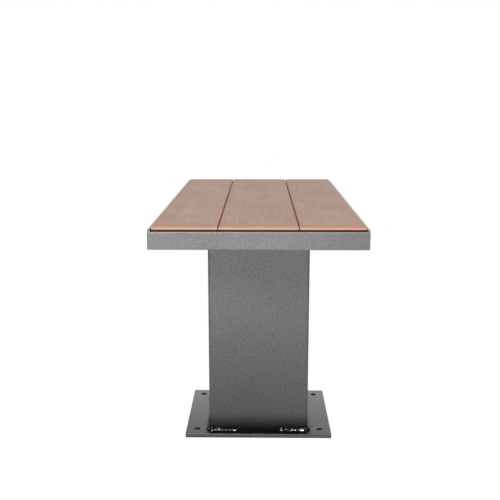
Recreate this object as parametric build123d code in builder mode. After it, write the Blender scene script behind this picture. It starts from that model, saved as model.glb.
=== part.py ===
from build123d import *
import os

# Backless bench on one pedestal: a base plate, a square column and a head plate carry two tubular
# bearers, and on these lies a frame of steel angle with cross bars and three composite boards.
# Millimetres. +X is the width, +Y the length, +Z up. The origin is the middle of the base plate's
# underside. "Front" is -Y and "left" is -X.

# ---- driving dimensions -------------------------------------------------------------------------

seat_length = 750
seat_width = 355
seat_height = 473

column_side = 200
column_wall = 4
column_corner_radius = 5

base_margin_x = 47.5
base_margin_y = 20
base_thickness = 8
base_corner_radius = 3
base_edge_radius = 0.8
anchor_inset_x = 22.5
anchor_inset_y = 25
anchor_hole_diameter = 13
drain_hole_diameter = 40

head_thickness = 8
head_edge_margin = 17
head_corner_radius = 4
vent_hole_diameter = 25

bearer_width = 40
bearer_height = 30
bearer_wall = 2.5
bearer_corner_radius = 3
bearer_spacing = 120
bearer_cap_thickness = 2

rail_leg = 28.5
rail_thickness = 4
rail_edge_radius = 1

bar_width = 40
bar_thickness = 6
bar_edge_radius = 0.8
bar_count = 6
bar_end_clearance = 5

board_thickness = 28
middle_board_width = 129
board_gap = 1.5
board_side_clearance = 1
board_end_clearance = 10
board_edge_radius = 2.5
board_underside_chamfer = 1

bolt_diameter = 10
bolt_length = 25
bolt_hole_clearance = 1
bolt_column_clearance = 18
hex_across_flats = 17
hex_edge_chamfer = 0.6
bolt_head_height = 6.4
washer_diameter = 20
washer_hole_clearance = 0.5
washer_thickness = 2
nut_height = 8
nut_bore_clearance = 0.2

screw_diameter = 5
screw_bite = 18
screw_tip_chamfer = 1.5
screw_head_diameter = 10.5
screw_head_height = 3.5
screw_head_radius = 1.5
screw_bar_clearance = 1.5
screw_pilot_clearance = 0.2
screw_pilot_extra_depth = 1
screw_head_clearance = 2.75

foot_weld_leg = 7
foot_weld_length = 57
head_weld_leg = 5
bearer_weld_leg = 4
frame_weld_leg = 3
weld_bulge = 0.1

# ---- heights, from the top of the boards down ---------------------------------------------------

board_bottom = seat_height - board_thickness
side_rail_bottom = board_bottom - rail_thickness
end_rail_bottom = side_rail_bottom - rail_thickness
bar_bottom = board_bottom - bar_thickness
bearer_bottom = bar_bottom - bearer_height
head_bottom = bearer_bottom - head_thickness
column_height = head_bottom - base_thickness

# ---- holes that the fasteners pass through ------------------------------------------------------

bolt_hole_diameter = bolt_diameter + bolt_hole_clearance
washer_hole_diameter = bolt_diameter + washer_hole_clearance
nut_bore_diameter = bolt_diameter + nut_bore_clearance
screw_bar_hole_diameter = screw_diameter + screw_bar_clearance
screw_pilot_diameter = screw_diameter + screw_pilot_clearance

# ---- places in plan -----------------------------------------------------------------------------

base_width = column_side + 2 * base_margin_x
base_length = column_side + 2 * base_margin_y
anchor_spacing_x = base_width - 2 * anchor_inset_x
anchor_spacing_y = base_length - 2 * anchor_inset_y

half_width = seat_width / 2
half_length = seat_length / 2
flange_inner_x = half_width - rail_leg
flange_inner_y = half_length - rail_leg
side_rail_length = seat_length - 2 * rail_thickness

boards_half_width = half_width - rail_thickness - board_side_clearance
board_length = side_rail_length - 2 * board_end_clearance
outer_board_inner_x = middle_board_width / 2 + board_gap
outer_board_width = boards_half_width - outer_board_inner_x
outer_board_x = outer_board_inner_x + outer_board_width / 2

last_bar_y = flange_inner_y - bar_end_clearance - bar_width / 2
bar_pitch = 2 * last_bar_y / (bar_count - 1)
bar_ys = [-last_bar_y + index * bar_pitch for index in range(bar_count)]
carried_bar_ys = bar_ys[1:-1]
bearer_half_length = carried_bar_ys[-1] + bar_width / 2

bolt_spacing_y = column_side + 2 * bolt_column_clearance
head_length = bolt_spacing_y + 2 * head_edge_margin

side_signs = {"left": -1, "right": 1}
end_signs = {"front": -1, "rear": 1}
quadrants = [(sign_x, sign_y) for sign_x in (-1, 1) for sign_y in (-1, 1)]

# The screw heads keep clear of the bearers, of the welds along them and of the rails' flanges.
screw_head_reach = screw_head_diameter / 2 + screw_head_clearance
bearer_reach = bearer_width / 2 + bearer_weld_leg + screw_head_reach
middle_screw_x = bearer_spacing / 2 - bearer_reach
near_screw_x = bearer_spacing / 2 + bearer_reach
far_screw_x = flange_inner_x - screw_head_reach
screw_xs = {
    "left": [-far_screw_x, -near_screw_x],
    "middle": [-middle_screw_x, middle_screw_x],
    "right": [near_screw_x, far_screw_x],
}
all_screw_xs = [x for xs in screw_xs.values() for x in xs]

os.makedirs("parts", exist_ok=True)


def save(piece, name):
    """Label a finished piece and write it to its own STEP file."""
    piece.label = name
    export_step(piece, f"parts/{name}.step")


def bead_plane(middle, away, up):
    """Plane of a fillet weld's section, through the middle of the bead's length."""
    return Plane(origin=middle, x_dir=away, z_dir=Vector(*away).cross(Vector(*up)))


class FilletBead(BaseSketchObject):
    """Section of a fillet weld: a right angle at the origin, two equal legs and a convex face."""

    def __init__(self, leg, mode=Mode.ADD):
        crown = leg * (0.5 + weld_bulge)
        with BuildSketch() as section:
            with BuildLine():
                Line((0, leg), (0, 0))
                Line((0, 0), (leg, 0))
                ThreePointArc((leg, 0), (crown, crown), (0, leg))
            make_face()
        super().__init__(section.sketch, rotation=0, align=None, mode=mode)


# ---- base plate ---------------------------------------------------------------------------------

with BuildPart() as base_plate:
    with BuildSketch():
        RectangleRounded(base_width, base_length, base_corner_radius)
        with GridLocations(anchor_spacing_x, anchor_spacing_y, 2, 2):
            Circle(anchor_hole_diameter / 2, mode=Mode.SUBTRACT)
        Circle(drain_hole_diameter / 2, mode=Mode.SUBTRACT)
    extrude(amount=base_thickness)
    fillet(base_plate.faces().sort_by(Axis.Z)[-1].outer_wire().edges(), base_edge_radius)
save(base_plate.part, "base_plate")

# ---- column: a square box section between the base plate and the head plate ---------------------

with BuildPart() as column:
    with BuildSketch(Plane.XY.offset(base_thickness)):
        RectangleRounded(column_side, column_side, column_corner_radius)
        offset(amount=-column_wall, mode=Mode.SUBTRACT)
    extrude(amount=column_height)
save(column.part, "column")

# ---- foot welds: two stitches on each side of the column, one from each corner ------------------

with BuildPart() as foot_welds:
    stitch_middle = column_side / 2 - foot_weld_length / 2
    for sign_x, sign_y in quadrants:
        on_end = (sign_x * stitch_middle, sign_y * column_side / 2, base_thickness)
        with BuildSketch(bead_plane(on_end, (0, sign_y, 0), (0, 0, 1))):
            FilletBead(foot_weld_leg)
        on_side = (sign_x * column_side / 2, sign_y * stitch_middle, base_thickness)
        with BuildSketch(bead_plane(on_side, (sign_x, 0, 0), (0, 0, 1))):
            FilletBead(foot_weld_leg)
    extrude(amount=foot_weld_length / 2, both=True)
save(foot_welds.part, "foot_welds")

# ---- head plate and its welds to the column -----------------------------------------------------

with BuildPart() as head_plate:
    with BuildSketch(Plane.XY.offset(head_bottom)):
        RectangleRounded(column_side, head_length, head_corner_radius)
        with GridLocations(bearer_spacing, bolt_spacing_y, 2, 2):
            Circle(bolt_hole_diameter / 2, mode=Mode.SUBTRACT)
        Circle(vent_hole_diameter / 2, mode=Mode.SUBTRACT)
    extrude(amount=head_thickness)
save(head_plate.part, "head_plate")

with BuildPart() as head_welds:
    for sign in end_signs.values():
        with BuildSketch(bead_plane((0, sign * column_side / 2, head_bottom), (0, sign, 0), (0, 0, -1))):
            FilletBead(head_weld_leg)
    extrude(amount=column_side / 2 - column_corner_radius, both=True)
save(head_welds.part, "head_welds")

# ---- bearers: two tubes that lie on the head plate under the four middle cross bars -------------

for side, sign in side_signs.items():
    with BuildPart() as bearer:
        with BuildSketch(Plane.XZ):
            with Locations((sign * bearer_spacing / 2, bearer_bottom + bearer_height / 2)):
                RectangleRounded(bearer_width, bearer_height, bearer_corner_radius)
            offset(amount=-bearer_wall, mode=Mode.SUBTRACT)
        extrude(amount=bearer_half_length - bearer_cap_thickness, both=True)
        with BuildSketch(Plane.XY.offset(bearer_bottom)):
            with Locations((sign * bearer_spacing / 2, 0)):
                with GridLocations(0, bolt_spacing_y, 1, 2):
                    Circle(bolt_hole_diameter / 2)
        extrude(amount=bearer_wall, mode=Mode.SUBTRACT)
    save(bearer.part, f"{side}_bearer")

with BuildPart() as bearer_end_caps:
    for sign_x, sign_y in quadrants:
        cap_inner_y = sign_y * (bearer_half_length - bearer_cap_thickness)
        cap_plane = Plane(origin=(0, cap_inner_y, 0), x_dir=(1, 0, 0), z_dir=(0, sign_y, 0))
        cap_height = sign_y * -(bearer_bottom + bearer_height / 2)
        with BuildSketch(cap_plane):
            with Locations((sign_x * bearer_spacing / 2, cap_height)):
                RectangleRounded(bearer_width, bearer_height, bearer_corner_radius)
    extrude(amount=bearer_cap_thickness)
save(bearer_end_caps.part, "bearer_end_caps")

with BuildPart() as bearer_welds:
    for bar_y in carried_bar_ys:
        for bearer_sign in side_signs.values():
            for wall_sign in side_signs.values():
                wall_x = bearer_sign * bearer_spacing / 2 + wall_sign * bearer_width / 2
                with BuildSketch(bead_plane((wall_x, bar_y, bar_bottom), (wall_sign, 0, 0), (0, 0, -1))):
                    FilletBead(bearer_weld_leg)
    extrude(amount=bar_width / 2, both=True)
save(bearer_welds.part, "bearer_welds")

# ---- bolts that hold the bearers down on the head plate -----------------------------------------

bolt_seat = head_bottom - washer_thickness

with BuildPart() as seat_bolts:
    with BuildSketch(Plane.XY.offset(bolt_seat - bolt_head_height)):
        with GridLocations(bearer_spacing, bolt_spacing_y, 2, 2):
            RegularPolygon(hex_across_flats / 2, 6, major_radius=False)
    extrude(amount=bolt_head_height)
    chamfer(seat_bolts.faces().group_by(Axis.Z)[0].edges(), hex_edge_chamfer)
    with BuildSketch(Plane.XY.offset(bolt_seat)):
        with GridLocations(bearer_spacing, bolt_spacing_y, 2, 2):
            Circle(bolt_diameter / 2)
    extrude(amount=bolt_length)
    chamfer(seat_bolts.faces().group_by(Axis.Z)[-1].edges(), hex_edge_chamfer)
save(seat_bolts.part, "seat_bolts")

with BuildPart() as seat_bolt_washers:
    with BuildSketch(Plane.XY.offset(bolt_seat)):
        with GridLocations(bearer_spacing, bolt_spacing_y, 2, 2):
            Circle(washer_diameter / 2)
            Circle(washer_hole_diameter / 2, mode=Mode.SUBTRACT)
    extrude(amount=washer_thickness)
save(seat_bolt_washers.part, "seat_bolt_washers")

with BuildPart() as weld_nuts:
    with BuildSketch(Plane.XY.offset(bearer_bottom + bearer_wall)):
        with GridLocations(bearer_spacing, bolt_spacing_y, 2, 2):
            RegularPolygon(hex_across_flats / 2, 6, major_radius=False)
            Circle(nut_bore_diameter / 2, mode=Mode.SUBTRACT)
    extrude(amount=nut_height)
save(weld_nuts.part, "weld_nuts")

# ---- seat frame: four angle rails, the side rails' flanges lying on the end rails' flanges ------

for end, sign in end_signs.items():
    with BuildPart() as end_rail:
        with BuildSketch(Plane.YZ):
            with BuildLine():
                heel_y = sign * half_length
                Polyline(
                    (heel_y, end_rail_bottom),
                    (heel_y, end_rail_bottom + rail_leg),
                    (heel_y - sign * rail_thickness, end_rail_bottom + rail_leg),
                    (heel_y - sign * rail_thickness, end_rail_bottom + rail_thickness),
                    (sign * flange_inner_y, end_rail_bottom + rail_thickness),
                    (sign * flange_inner_y, end_rail_bottom),
                    close=True,
                )
            make_face()
        extrude(amount=half_width, both=True)
        outer_face = end_rail.faces().sort_by(Axis.Y)[-1 if sign > 0 else 0]
        fillet(outer_face.edges(), rail_edge_radius)
    save(end_rail.part, f"{end}_rail")

for side, sign in side_signs.items():
    with BuildPart() as side_rail:
        with BuildSketch(Plane.XZ):
            with BuildLine():
                heel_x = sign * half_width
                Polyline(
                    (heel_x, side_rail_bottom),
                    (heel_x, side_rail_bottom + rail_leg),
                    (heel_x - sign * rail_thickness, side_rail_bottom + rail_leg),
                    (heel_x - sign * rail_thickness, side_rail_bottom + rail_thickness),
                    (sign * flange_inner_x, side_rail_bottom + rail_thickness),
                    (sign * flange_inner_x, side_rail_bottom),
                    close=True,
                )
            make_face()
        extrude(amount=side_rail_length / 2, both=True)
        outer_face = side_rail.faces().sort_by(Axis.X)[-1 if sign > 0 else 0]
        fillet(outer_face.edges().filter_by(Axis.Y), rail_edge_radius)
    save(side_rail.part, f"{side}_rail")

with BuildPart() as rail_corner_welds:
    for sign_x, sign_y in quadrants:
        inner_corner = (
            sign_x * (half_width - rail_thickness),
            sign_y * (half_length - rail_thickness),
            board_bottom,
        )
        with BuildSketch(bead_plane(inner_corner, (-sign_x, 0, 0), (0, -sign_y, 0))):
            FilletBead(frame_weld_leg)
        extrude(amount=(rail_leg - 2 * rail_thickness) * sign_x * sign_y)
        lap = (sign_x * (half_width - rail_leg / 2), sign_y * flange_inner_y, side_rail_bottom)
        with BuildSketch(bead_plane(lap, (0, -sign_y, 0), (0, 0, -1))):
            FilletBead(frame_weld_leg)
        extrude(amount=rail_leg / 2, both=True)
save(rail_corner_welds.part, "rail_corner_welds")

# ---- cross bars, butted between the side rails' flanges -----------------------------------------

for number, bar_y in enumerate(bar_ys, start=1):
    with BuildPart() as cross_bar:
        with BuildSketch(Plane.XY.offset(bar_bottom)):
            with Locations((0, bar_y)):
                Rectangle(2 * flange_inner_x, bar_width)
            with Locations(*[(x, bar_y) for x in all_screw_xs]):
                Circle(screw_bar_hole_diameter / 2, mode=Mode.SUBTRACT)
        extrude(amount=bar_thickness)
        fillet(cross_bar.edges().filter_by(Axis.X), bar_edge_radius)
    save(cross_bar.part, f"cross_bar_{number}")

with BuildPart() as cross_bar_welds:
    for bar_y in bar_ys:
        for sign in side_signs.values():
            flange_edge = (sign * flange_inner_x, bar_y, side_rail_bottom)
            with BuildSketch(bead_plane(flange_edge, (sign, 0, 0), (0, 0, -1))):
                FilletBead(frame_weld_leg)
    extrude(amount=bar_width / 2, both=True)
save(cross_bar_welds.part, "cross_bar_welds")

# ---- boards and their screws --------------------------------------------------------------------

board_places = {
    "left": (-outer_board_x, outer_board_width),
    "middle": (0, middle_board_width),
    "right": (outer_board_x, outer_board_width),
}

for name, (board_x, board_width) in board_places.items():
    screw_points = [(x, y) for x in screw_xs[name] for y in bar_ys]

    with BuildPart() as board:
        with BuildSketch(Plane.XY.offset(board_bottom)):
            with Locations((board_x, 0)):
                Rectangle(board_width, board_length)
        extrude(amount=board_thickness)
        fillet(board.faces().sort_by(Axis.Z)[-1].edges(), board_edge_radius)
        chamfer(board.faces().sort_by(Axis.Z)[0].edges(), board_underside_chamfer)
        with BuildSketch(Plane.XY.offset(board_bottom)):
            with Locations(*screw_points):
                Circle(screw_pilot_diameter / 2)
        extrude(amount=screw_bite + screw_pilot_extra_depth, mode=Mode.SUBTRACT)
    save(board.part, f"{name}_board")

    with BuildPart() as board_screws:
        with BuildSketch(Plane.XY.offset(bar_bottom - screw_head_height)):
            with Locations(*screw_points):
                Circle(screw_head_diameter / 2)
        extrude(amount=screw_head_height)
        fillet(board_screws.faces().group_by(Axis.Z)[0].edges(), screw_head_radius)
        with BuildSketch(Plane.XY.offset(bar_bottom)):
            with Locations(*screw_points):
                Circle(screw_diameter / 2)
        extrude(amount=bar_thickness + screw_bite)
        chamfer(board_screws.faces().group_by(Axis.Z)[-1].edges(), screw_tip_chamfer)
    save(board_screws.part, f"{name}_board_screws")
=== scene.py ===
import math
import random

import bmesh
import bpy
from mathutils import Matrix, Vector, noise


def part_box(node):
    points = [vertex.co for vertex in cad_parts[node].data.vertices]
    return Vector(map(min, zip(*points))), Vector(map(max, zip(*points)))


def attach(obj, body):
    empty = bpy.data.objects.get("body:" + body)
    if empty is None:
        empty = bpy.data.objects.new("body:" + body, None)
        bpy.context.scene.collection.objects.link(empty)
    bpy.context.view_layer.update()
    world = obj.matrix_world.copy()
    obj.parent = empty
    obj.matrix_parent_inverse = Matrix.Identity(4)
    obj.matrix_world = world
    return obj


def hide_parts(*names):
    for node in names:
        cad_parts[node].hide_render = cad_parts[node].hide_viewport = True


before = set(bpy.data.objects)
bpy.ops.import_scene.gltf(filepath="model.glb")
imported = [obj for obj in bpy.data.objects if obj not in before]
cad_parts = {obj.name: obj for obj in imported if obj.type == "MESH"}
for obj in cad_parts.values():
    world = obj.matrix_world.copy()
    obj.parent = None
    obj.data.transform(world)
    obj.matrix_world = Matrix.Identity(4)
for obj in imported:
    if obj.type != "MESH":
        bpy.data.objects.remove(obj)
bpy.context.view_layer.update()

# Looks of a backless bench on one pedestal. Metres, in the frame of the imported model: +X is the
# width, +Y the length, +Z up, and the origin is the middle of the base plate's underside.

MM = 0.001
FLOOR_REACH = 9.0
WALL_HEIGHT = 7.0
WELD_SEED = 7
DROPLETS_PER_BEAD = 4

COATED_NODES = (
    ["base_plate", "column", "head_plate", "left_bearer", "right_bearer", "bearer_end_caps"]
    + ["front_rail", "rear_rail", "left_rail", "right_rail"]
    + [f"cross_bar_{number}" for number in range(1, 7)]
)
WELD_NODES = ["foot_welds", "head_welds", "bearer_welds", "cross_bar_welds", "rail_corner_welds"]
BOARD_NODES = ["left_board", "middle_board", "right_board"]
FASTENER_NODES = ["seat_bolts", "seat_bolt_washers", "weld_nuts"]
FASTENER_NODES += ["left_board_screws", "middle_board_screws", "right_board_screws"]


# ---- camera, stage and light --------------------------------------------------------------------

def make_camera():
    """The photograph's view: from the front end, a little above the seat, looking slightly down."""
    data = bpy.data.cameras.new("camera")
    data.sensor_width = 36.0
    data.lens = 56.08
    camera = bpy.data.objects.new("camera", data)
    camera.location = (0.0026, -1.5908, 0.6778)
    camera.rotation_euler = (math.radians(90 - 11.19), 0, math.radians(0.76))
    bpy.context.scene.collection.objects.link(camera)
    bpy.context.scene.camera = camera


def plane_object(name, corners, material):
    """A flat four-cornered stage piece."""
    mesh = bpy.data.meshes.new(name)
    mesh.from_pydata([Vector(corner) for corner in corners], [], [(0, 1, 2, 3)])
    mesh.materials.append(material)
    plane = bpy.data.objects.new(name, mesh)
    bpy.context.scene.collection.objects.link(plane)
    return plane


def stage_material(name, diffuse, glow):
    """A matt white surface with some light of its own."""
    material = bpy.data.materials.new(name)
    material.use_nodes = True
    shader = material.node_tree.nodes["Principled BSDF"]
    shader.inputs["Base Color"].default_value = (diffuse, diffuse, diffuse, 1)
    shader.inputs["Roughness"].default_value = 0.9
    shader.inputs["Specular IOR Level"].default_value = 0.0
    shader.inputs["Emission Color"].default_value = (1, 1, 1, 1)
    shader.inputs["Emission Strength"].default_value = glow
    return material


def make_stage():
    """A pale floor that returns light, a white one just under it for the eye, and white walls."""
    reach = FLOOR_REACH
    square = [(-reach, -reach), (reach, -reach), (reach, reach), (-reach, reach)]
    seen = plane_object(
        "floor", [(x, y, -0.5 * MM) for x, y in square], stage_material("floor_white", 0.0, 1.0)
    )
    seen.visible_diffuse = False
    seen.visible_glossy = False
    seen.visible_shadow = False
    bounce = plane_object(
        "bounce_floor", [(x, y, 0) for x, y in square], stage_material("bounce_white", 0.75, 0.0)
    )
    bounce.visible_camera = False
    wall_white = stage_material("wall_white", 0.0, 1.0)
    corners = [(-reach, reach), (reach, reach), (reach, -reach), (-reach, -reach)]
    for number in range(4):
        (ax, ay), (bx, by) = corners[number], corners[(number + 1) % 4]
        wall = plane_object(
            f"wall_{number + 1}",
            [(ax, ay, -0.5), (bx, by, -0.5), (bx, by, WALL_HEIGHT), (ax, ay, WALL_HEIGHT)],
            wall_white,
        )
        wall.visible_diffuse = False
        wall.visible_shadow = False
        wall.visible_glossy = False
    # What the glossy plate mirrors: it starts left of the bench and stands just before the wall.
    left = -1.6
    top = 3.75
    back = reach - 0.1
    glow = plane_object(
        "rear_glow",
        [(left, back, 0), (reach, back, 0), (reach, back, top), (left, back, top)],
        stage_material("glow_white", 0.0, 1.0),
    )
    glow.visible_diffuse = False
    glow.visible_camera = False
    glow.visible_shadow = False


def area_light(name, place, target, size, power):
    """A soft rectangular white light at place, aimed at target, with its power in watts."""
    data = bpy.data.lights.new(name, "AREA")
    data.shape = "RECTANGLE"
    data.size, data.size_y = size
    data.energy = power
    light = bpy.data.objects.new(name, data)
    light.location = place
    direction = Vector(target) - Vector(place)
    light.rotation_euler = direction.to_track_quat("-Z", "Y").to_euler()
    bpy.context.scene.collection.objects.link(light)


def make_light():
    """A soft light beside the camera, a weaker one overhead, and a pale sky for the rest."""
    area_light("front_light", (-0.7, -2.6, 1.60), (0, 0, 0.35), (1.6, 0.5), 30.0)
    area_light("low_light", (-0.3, -2.4, 0.35), (0, 0, 0.35), (1.6, 0.5), 4.0)
    area_light("top_light", (0.1, 0.0, 2.6), (0, 0, 0.4), (2.4, 2.4), 22.0)

    world = bpy.data.worlds.new("studio")
    world.use_nodes = True
    background = world.node_tree.nodes["Background"]
    background.inputs["Color"].default_value = (1, 1, 1, 1)
    background.inputs["Strength"].default_value = 0.40
    bpy.context.scene.world = world


# ---- small helpers for node materials -----------------------------------------------------------

class Graph:
    """A material's node tree, with one short call for each kind of node that is used."""

    def __init__(self, name):
        self.material = bpy.data.materials.new(name)
        self.material.use_nodes = True
        self.tree = self.material.node_tree
        self.shader = self.tree.nodes["Principled BSDF"]
        self.place = self.tree.nodes.new("ShaderNodeTexCoord").outputs["Object"]

    def put(self, socket, value):
        """Links value to a socket if it is an output, and sets it if it is a plain value."""
        if isinstance(value, bpy.types.NodeSocket):
            self.tree.links.new(value, socket)
        else:
            socket.default_value = value

    def stretched(self, scale):
        """Object coordinates multiplied along each axis."""
        mapping = self.tree.nodes.new("ShaderNodeMapping")
        self.put(mapping.inputs["Vector"], self.place)
        mapping.inputs["Scale"].default_value = scale
        return mapping.outputs["Vector"]

    def noise(self, scale, detail=3.0, roughness=0.55, stretch=None):
        """Soft noise from 0 to 1, with scale in cells per metre."""
        texture = self.tree.nodes.new("ShaderNodeTexNoise")
        place = self.place if stretch is None else self.stretched(stretch)
        self.put(texture.inputs["Vector"], place)
        texture.inputs["Scale"].default_value = scale
        texture.inputs["Detail"].default_value = detail
        texture.inputs["Roughness"].default_value = roughness
        return texture.outputs["Fac"]

    def cells(self, scale):
        """Distance to the nearest of many scattered points, with scale in points per metre."""
        texture = self.tree.nodes.new("ShaderNodeTexVoronoi")
        texture.feature = "SMOOTH_F1"
        self.put(texture.inputs["Vector"], self.place)
        texture.inputs["Scale"].default_value = scale
        return texture.outputs["Distance"]

    def math(self, operation, first, second=0.0):
        """One arithmetic step."""
        step = self.tree.nodes.new("ShaderNodeMath")
        step.operation = operation
        self.put(step.inputs[0], first)
        self.put(step.inputs[1], second)
        return step.outputs[0]

    def span(self, value, low, high, to_low, to_high, smooth=False):
        """value carried from low..high to to_low..to_high and held there."""
        step = self.tree.nodes.new("ShaderNodeMapRange")
        if smooth:
            step.interpolation_type = "SMOOTHSTEP"
        self.put(step.inputs["Value"], value)
        step.inputs["From Min"].default_value = low
        step.inputs["From Max"].default_value = high
        step.inputs["To Min"].default_value = to_low
        step.inputs["To Max"].default_value = to_high
        return step.outputs["Result"]

    def mix(self, factor, first, second):
        """Colour blend from first to second."""
        step = self.tree.nodes.new("ShaderNodeMix")
        step.data_type = "RGBA"
        self.put(step.inputs["Factor"], factor)
        for name, colour in (("A", first), ("B", second)):
            linked = isinstance(colour, bpy.types.NodeSocket)
            self.put(step.inputs[name], colour if linked else (*colour, 1))
        return step.outputs["Result"]

    def shade(self, colour, factor):
        """Colour times a grey factor."""
        step = self.tree.nodes.new("ShaderNodeVectorMath")
        step.operation = "SCALE"
        self.put(step.inputs[0], colour)
        self.put(step.inputs["Scale"], factor)
        return step.outputs["Vector"]

    def axis(self, name):
        """One object coordinate."""
        split = self.tree.nodes.new("ShaderNodeSeparateXYZ")
        self.put(split.inputs["Vector"], self.place)
        return split.outputs[name]

    def facing_up(self):
        """1 on faces that look up, 0 on upright and hanging ones."""
        face = self.tree.nodes.new("ShaderNodeNewGeometry")
        split = self.tree.nodes.new("ShaderNodeSeparateXYZ")
        self.put(split.inputs["Vector"], face.outputs["Normal"])
        return self.span(split.outputs["Z"], 0.55, 0.9, 0.0, 1.0)

    def edges(self, radius):
        """About 1 on sharp convex and concave edges and 0 on flat faces."""
        rounded = self.tree.nodes.new("ShaderNodeBevel")
        rounded.samples = 6
        rounded.inputs["Radius"].default_value = radius
        flat = self.tree.nodes.new("ShaderNodeNewGeometry")
        turn = self.tree.nodes.new("ShaderNodeVectorMath")
        turn.operation = "DOT_PRODUCT"
        self.put(turn.inputs[0], rounded.outputs["Normal"])
        self.put(turn.inputs[1], flat.outputs["Normal"])
        return self.span(turn.outputs["Value"], 0.98, 0.80, 0.0, 1.0)

    def bump(self, height, distance, strength=1.0, below=None):
        """Surface relief, distance metres deep for a height of 1."""
        step = self.tree.nodes.new("ShaderNodeBump")
        step.inputs["Strength"].default_value = strength
        step.inputs["Distance"].default_value = distance
        self.put(step.inputs["Height"], height)
        if below is not None:
            self.put(step.inputs["Normal"], below)
        return step.outputs["Normal"]

    def finish(self, colour, roughness, normal, **plain):
        """Links the finished inputs and sets the plain ones on the shader's own sockets."""
        self.put(self.shader.inputs["Base Color"], colour)
        self.put(self.shader.inputs["Roughness"], roughness)
        self.put(self.shader.inputs["Normal"], normal)
        for name, value in plain.items():
            self.shader.inputs[name.replace("_", " ")].default_value = value
        return self.material


# ---- materials ----------------------------------------------------------------------------------

STEEL_GREY = (0.238, 0.234, 0.232)
WORN_GREY = (0.42, 0.417, 0.413)
TOP_HIGHLIGHT_GREY = (0.74, 0.70, 0.67)


def foot_painted_shadow(graph, column):
    """Painted shadow mask: 1 at the column's foot, on the column and on the plate just outside it,
    else 0.
    """
    low, high = column
    outside_x = graph.math("SUBTRACT", graph.math("ABSOLUTE", graph.axis("X")), high[0])
    outside_y = graph.math("SUBTRACT", graph.math("ABSOLUTE", graph.axis("Y")), high[1])
    beside = graph.span(outside_x, 3 * MM, 8 * MM, 1.0, 0.0, smooth=True)
    before = graph.span(outside_y, 15 * MM, 19.5 * MM, 1.0, 0.0, smooth=True)
    height = graph.math("SUBTRACT", graph.axis("Z"), low[2])
    near_floor = graph.span(height, 0.0, 44 * MM, 1.0, 0.0, smooth=True)
    return graph.math("MULTIPLY", graph.math("MULTIPLY", beside, before), near_floor)


def hammered_coat(name, column, lightness, gloss, relief, top_highlight, grain, contrast):
    """Grey powder coat, finely hammered, with painted shade low down and painted shadow at the
    column's foot.

    gloss is the roughness taken off, relief scales the hammered dimples, top_highlight is how far
    faces that look up are painted a paler grey as a painted highlight, grain is the mottle's cells
    in a metre, and contrast is how far it goes from light to dark.
    """
    graph = Graph(name)
    broad = graph.noise(7.0, 2.0)
    mottle = graph.noise(grain, 3.0, 0.62)
    dimples = graph.cells(grain)
    flake = graph.noise(1500.0, 1.0, 0.5)

    dark, pale = lightness * (1 - contrast), lightness * (1 + contrast)
    tone = graph.span(mottle, 0.30, 0.70, dark, pale)
    tone = graph.math("MULTIPLY", tone, graph.span(broad, 0.3, 0.7, 0.96, 1.04))
    tone = graph.math("MULTIPLY", tone, graph.span(dimples, 0.1, 0.7, 1.06, 0.92))
    # Painted shade: the coat grows darker towards the bottom, down to 0.8 times as light at 0.06 m
    # and below.
    tone = graph.math("MULTIPLY", tone, graph.span(graph.axis("Z"), 0.06, 0.24, 0.80, 1.0))
    tone = graph.math("MULTIPLY", tone, graph.span(flake, 0.45, 0.75, 0.97, 1.10))

    wear = graph.math("MULTIPLY", graph.edges(1.6 * MM), graph.span(mottle, 0.40, 0.60, 0.25, 1.0))
    colour = graph.mix(wear, STEEL_GREY, WORN_GREY)
    # Painted highlight: faces that look up are painted a paler grey, as far as the given amount.
    colour = graph.mix(graph.math("MULTIPLY", graph.facing_up(), top_highlight), colour, TOP_HIGHLIGHT_GREY)
    colour = graph.shade(colour, tone)
    # Painted shadow: near black on the column's lowest 44 mm and on the plate just outside it.
    foot_shadow = foot_painted_shadow(graph, column)
    colour = graph.mix(graph.math("MULTIPLY", foot_shadow, 0.93), colour, (0.006, 0.006, 0.006))

    roughness = graph.span(mottle, 0.3, 0.7, 0.46 - gloss, 0.36 - gloss)
    normal = graph.bump(dimples, 0.08 * MM, 0.5 * relief)
    normal = graph.bump(mottle, 0.12 * MM, 0.5 * relief, below=normal)
    return graph.finish(colour, roughness, normal, Metallic=0.85, Specular_IOR_Level=0.5)


def weld_coat(name, column):
    """Weld metal, dark with heat, with painted highlights as pale spots, most on the beads that run
    across the bench.
    """
    graph = Graph(name)
    blotch = graph.noise(260.0, 3.0)
    # Painted highlights: pale metal-grey spots on the beads, at a quarter strength on the beads
    # that run along the bench.
    glints = graph.span(graph.noise(170.0, 2.0, 0.5), 0.54, 0.62, 0.0, 1.0)
    outside_y = graph.math("SUBTRACT", graph.math("ABSOLUTE", graph.axis("Y")), column[1][1])
    glints = graph.math("MULTIPLY", glints, graph.span(outside_y, -1 * MM, 1 * MM, 0.25, 1.0))
    colour = graph.mix(blotch, (0.010, 0.010, 0.010), (0.05, 0.049, 0.048))
    colour = graph.mix(glints, colour, (0.66, 0.65, 0.64))
    roughness = graph.span(blotch, 0.3, 0.7, 0.16, 0.34)
    normal = graph.bump(graph.noise(700.0, 3.0), 0.15 * MM, 0.5)
    return graph.finish(colour, roughness, normal, Metallic=0.9, Specular_IOR_Level=0.5)


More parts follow.
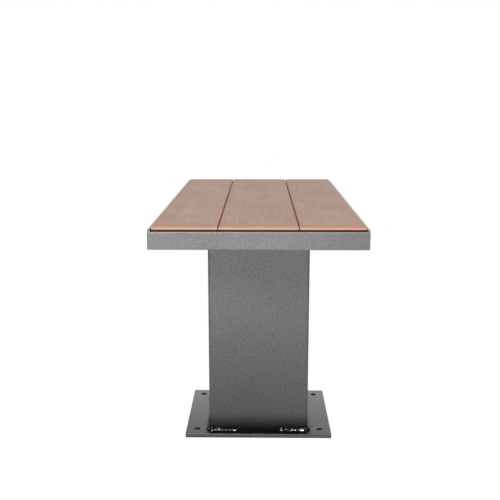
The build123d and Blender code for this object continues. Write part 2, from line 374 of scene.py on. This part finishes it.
def composite_board(name, tint, shift, board, rail_top):
    """Red-brown wood-plastic composite, brushed along its length, with raw ends.

    The cut ends are a fresher orange, partly their own colour and partly a painted highlight, where
    they stand above the end rails, and a painted shadow makes them dark below.
    """
    graph = Graph(name)
    low, high = board
    past_end = graph.math("SUBTRACT", graph.math("ABSOLUTE", graph.axis("Y")), high[1])
    depth = graph.math("SUBTRACT", high[2], graph.axis("Z"))
    on_end = graph.span(past_end, -2.4 * MM, -1.2 * MM, 0.0, 1.0)
    near_end = graph.span(past_end, -7.0 * MM, -1.5 * MM, 0.0, 1.0)
    from_middle = graph.math("SUBTRACT", graph.axis("X"), (low[0] + high[0]) / 2)
    past_side = graph.math("SUBTRACT", graph.math("ABSOLUTE", from_middle), (high[0] - low[0]) / 2)
    beside_joint = graph.span(past_side, -16.0 * MM, 0.0, 0.0, 1.0, smooth=True)
    before_end = graph.span(past_end, -60.0 * MM, 0.0, 0.0, 1.0, smooth=True)
    margin = graph.math("MAXIMUM", beside_joint, before_end)
    # Painted shadow mask: the end faces from just above the end rails' top downwards.
    end_shadow = graph.span(graph.axis("Z"), rail_top + 2.5 * MM, rail_top + 1.6 * MM, 0.0, 1.0)
    end_shadow = graph.math("MULTIPLY", end_shadow, near_end)

    place = graph.tree.nodes.new("ShaderNodeVectorMath")
    place.operation = "ADD"
    graph.put(place.inputs[0], graph.place)
    place.inputs[1].default_value = shift
    graph.place = place.outputs["Vector"]

    fibres = graph.noise(1.0, 4.0, 0.65, stretch=(520.0, 9.0, 520.0))
    bands = graph.noise(1.0, 3.0, 0.5, stretch=(46.0, 2.2, 46.0))
    clouds = graph.noise(11.0, 3.0)
    specks = graph.noise(900.0, 2.0, 0.6)

    deep = [part * tinted for part, tinted in zip((0.366, 0.231, 0.173), tint)]
    light = [part * tinted for part, tinted in zip((0.458, 0.298, 0.226), tint)]
    colour = graph.mix(graph.span(clouds, 0.3, 0.7, 0.15, 0.85), deep, light)
    tone = graph.span(fibres, 0.3, 0.7, 0.91, 1.09)
    tone = graph.math("MULTIPLY", tone, graph.span(bands, 0.3, 0.7, 0.95, 1.05))
    tone = graph.math("MULTIPLY", tone, graph.span(specks, 0.3, 0.75, 0.95, 1.06))
    colour = graph.shade(colour, tone)
    wear = graph.math("MULTIPLY", graph.edges(2.0 * MM), graph.span(fibres, 0.35, 0.65, 0.1, 0.5))
    colour = graph.mix(wear, colour, (0.50, 0.30, 0.20))
    colour = graph.mix(graph.math("MULTIPLY", margin, 0.62), colour, (0.460, 0.240, 0.146))
    colour = graph.mix(graph.math("MULTIPLY", near_end, 0.7), colour, (0.56, 0.25, 0.14))
    # The end faces below the rounded edge are a light orange: partly the raw cut's own colour and
    # partly a painted highlight.
    cut_end_and_highlight = graph.math("MULTIPLY", on_end, graph.span(depth, 1.4 * MM, 2.8 * MM, 0.0, 1.0))
    colour = graph.mix(cut_end_and_highlight, colour, (0.98, 0.58, 0.43))
    # Painted shadow: the end faces go near black below the end rails' top.
    colour = graph.mix(end_shadow, colour, (0.085, 0.036, 0.024))

    roughness = graph.span(fibres, 0.3, 0.7, 0.58, 0.46)
    normal = graph.bump(fibres, 0.10 * MM, 0.5)
    normal = graph.bump(specks, 0.05 * MM, 0.5, below=normal)
    return graph.finish(colour, roughness, normal, Specular_IOR_Level=0.5)


def zinc_plate(name):
    """Dull bright zinc on the fasteners."""
    graph = Graph(name)
    spangle = graph.noise(300.0, 3.0)
    colour = graph.mix(spangle, (0.50, 0.51, 0.52), (0.68, 0.68, 0.67))
    colour = graph.mix(graph.edges(0.6 * MM), colour, (0.80, 0.80, 0.80))
    roughness = graph.span(spangle, 0.3, 0.7, 0.28, 0.42)
    normal = graph.bump(graph.noise(1200.0, 2.0), 0.03 * MM, 0.5)
    return graph.finish(colour, roughness, normal, Metallic=1.0)


def dress(node, material):
    """Gives a CAD node one material all over."""
    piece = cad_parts[node]
    if not piece.material_slots:
        piece.data.materials.append(material)
    for place in piece.material_slots:
        place.material = material


# ---- weld beads ---------------------------------------------------------------------------------

def islands(mesh):
    """The separate solids of a mesh, as lists of corner positions.

    Two faces belong together where just they meet in an edge, so two beads that touch in an edge
    stay apart.
    """
    parent = list(range(len(mesh.polygons)))

    def root(index):
        while parent[index] != index:
            parent[index] = parent[parent[index]]
            index = parent[index]
        return index

    spots = [tuple(round(value, 6) for value in vertex.co) for vertex in mesh.vertices]
    sharers = {}
    for face in mesh.polygons:
        for first, second in face.edge_keys:
            edge = tuple(sorted((spots[first], spots[second])))
            sharers.setdefault(edge, []).append(face.index)
    for faces in sharers.values():
        if len(faces) == 2:
            parent[root(faces[0])] = root(faces[1])
    groups = {}
    for face in mesh.polygons:
        groups.setdefault(root(face.index), set()).update(spots[index] for index in face.vertices)
    return sorted(sorted(group) for group in groups.values())


def bead_run(points):
    """(start, run, away, up, leg) of one straight bead, read from its plain CAD solid."""
    low = Vector(min(point[axis] for point in points) for axis in range(3))
    high = Vector(max(point[axis] for point in points) for axis in range(3))
    size = high - low
    along = max(range(3), key=lambda axis: size[axis])
    first, second = [axis for axis in range(3) if axis != along]

    def reach(corner_first, corner_second):
        """How near the solid comes to one corner of its section's box."""
        return min(
            math.hypot(point[first] - corner_first[first], point[second] - corner_second[second])
            for point in points
        )

    # The box's corner that the bead's face cuts off lies opposite its right angle.
    choices = [(low, low), (low, high), (high, low), (high, high)]
    cut = max(choices, key=lambda pair: reach(*pair))
    start = low.copy()
    start[first] = high[first] if cut[0] is low else low[first]
    start[second] = high[second] if cut[1] is low else low[second]
    run = Vector((0, 0, 0))
    run[along] = size[along]
    away = Vector((0, 0, 0))
    away[first] = 1.0 if cut[0] is high else -1.0
    up = Vector((0, 0, 0))
    up[second] = 1.0 if cut[1] is high else -1.0
    return start, run, away, up, size[first]


def add_bead(bm, start, run, away, up, leg, rng):
    """A laid bead: overlapping ripples along the run, uneven legs and rounded ends."""
    length = run.length
    direction = run / length
    stations = max(8, int(length / (0.75 * MM)))
    ripple = leg * 0.42
    section = 9
    seed = Vector((rng.uniform(0, 50), rng.uniform(0, 50), rng.uniform(0, 50)))
    rings = []
    for index in range(stations + 1):
        s = length * index / stations
        end = min(s, length - s) / (leg * 0.75)
        taper = math.sqrt(max(0.0, 1 - (1 - min(end, 1.0)) ** 2))
        wander = noise.noise(seed + Vector((s / (5 * leg), 0, 0)))
        first_pool = math.exp(-(((s - 0.9 * leg) / (0.7 * leg)) ** 2))
        size = leg * (0.10 + 0.90 * taper) * (0.86 + 0.08 * wander + 0.16 * first_pool)
        ring = []
        for step in range(section):
            t = step / (section - 1)
            angle = t * math.pi / 2
            # Each ripple trails behind its middle, so its crest is an arc across the bead.
            lag = ripple * 0.55 * math.sin(2 * angle)
            phase = ((s + lag) / ripple) % 1.0
            crest = 1 - (2 * phase - 1) ** 2
            chord = 1 / (math.cos(angle) + math.sin(angle))
            swell = math.sin(2 * angle)
            lump = noise.noise(seed + Vector((s / (0.5 * leg), 3 * t, 7)))
            radius = size * (chord + swell * (0.10 + 0.09 * crest + 0.05 * lump))
            offset = away * (radius * math.cos(angle)) + up * (radius * math.sin(angle))
            ring.append(bm.verts.new(start + direction * s + offset))
        root = bm.verts.new(start + direction * s)
        rings.append((ring, root))
    for (ring, root), (next_ring, next_root) in zip(rings, rings[1:]):
        for a, b, c, d in zip(ring, ring[1:], next_ring[1:], next_ring):
            bm.faces.new((a, b, c, d))
        bm.faces.new((root, ring[0], next_ring[0], next_root))
        bm.faces.new((ring[-1], root, next_root, next_ring[-1]))
    for ring, root in (rings[0], rings[-1]):
        for a, b in zip(ring, ring[1:]):
            bm.faces.new((root, a, b))


def add_spatter(bm, start, run, away, up, leg, rng):
    """A few flattened droplets of metal on the plate beside a bead."""
    for _ in range(DROPLETS_PER_BEAD):
        radius = rng.uniform(0.6, 1.3) * MM
        spot = start + run * rng.uniform(0.02, 1.0) + away * (leg + rng.uniform(1.5, 5.0) * MM)
        place = Matrix.Translation(spot) @ Matrix.Diagonal((1.2, 1.0, 0.8, 1.0))
        bmesh.ops.create_icosphere(bm, subdivisions=2, radius=radius, matrix=place)


def make_welds(material):
    """Replaces each node of plain beads with laid ones in the same places."""
    rng = random.Random(WELD_SEED)
    for node in WELD_NODES:
        bm = bmesh.new()
        for points in islands(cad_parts[node].data):
            bead = bead_run(points)
            add_bead(bm, *bead, rng)
            if node == "foot_welds":
                add_spatter(bm, *bead, rng)
        bmesh.ops.recalc_face_normals(bm, faces=bm.faces)
        mesh = bpy.data.meshes.new(f"laid_{node}")
        bm.to_mesh(mesh)
        bm.free()
        for face in mesh.polygons:
            face.use_smooth = True
        mesh.materials.append(material)
        piece = bpy.data.objects.new(f"laid_{node}", mesh)
        bpy.context.scene.collection.objects.link(piece)
        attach(piece, "root")
        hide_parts(node)


# ---- the whole ----------------------------------------------------------------------------------

make_camera()
make_stage()
make_light()
bpy.context.scene.view_settings.view_transform = "Standard"

column_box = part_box("column")
pedestal_coat = hammered_coat(
    "pedestal_coat", column_box,
    lightness=0.98, gloss=0.0, relief=1.6, top_highlight=0.0, grain=300.0, contrast=0.26,
)
plate_coat = hammered_coat(
    "plate_coat", column_box,
    lightness=1.14, gloss=0.25, relief=0.08, top_highlight=0.0, grain=420.0, contrast=0.14,
)
frame_coat = hammered_coat(
    "frame_coat", column_box,
    lightness=1.14, gloss=0.0, relief=1.0, top_highlight=0.5, grain=420.0, contrast=0.14,
)
for node in COATED_NODES:
    coat = frame_coat if node.endswith("rail") else pedestal_coat
    dress(node, plate_coat if node == "base_plate" else coat)

make_welds(weld_coat("weld_coat", column_box))

# Each board is cut from another length of stock, so its tint and its place in the grain differ.
tints = [(1.05, 1.08, 1.12), (1.04, 1.03, 1.04), (1.03, 1.04, 1.05)]
rail_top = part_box("front_rail")[1][2]
for number, (node, tint) in enumerate(zip(BOARD_NODES, tints)):
    shift = (0.31 * number, 1.7 * number, 0)
    dress(node, composite_board(f"composite_{node}", tint, shift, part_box(node), rail_top))

zinc = zinc_plate("zinc_plate")
for node in FASTENER_NODES:
    dress(node, zinc)
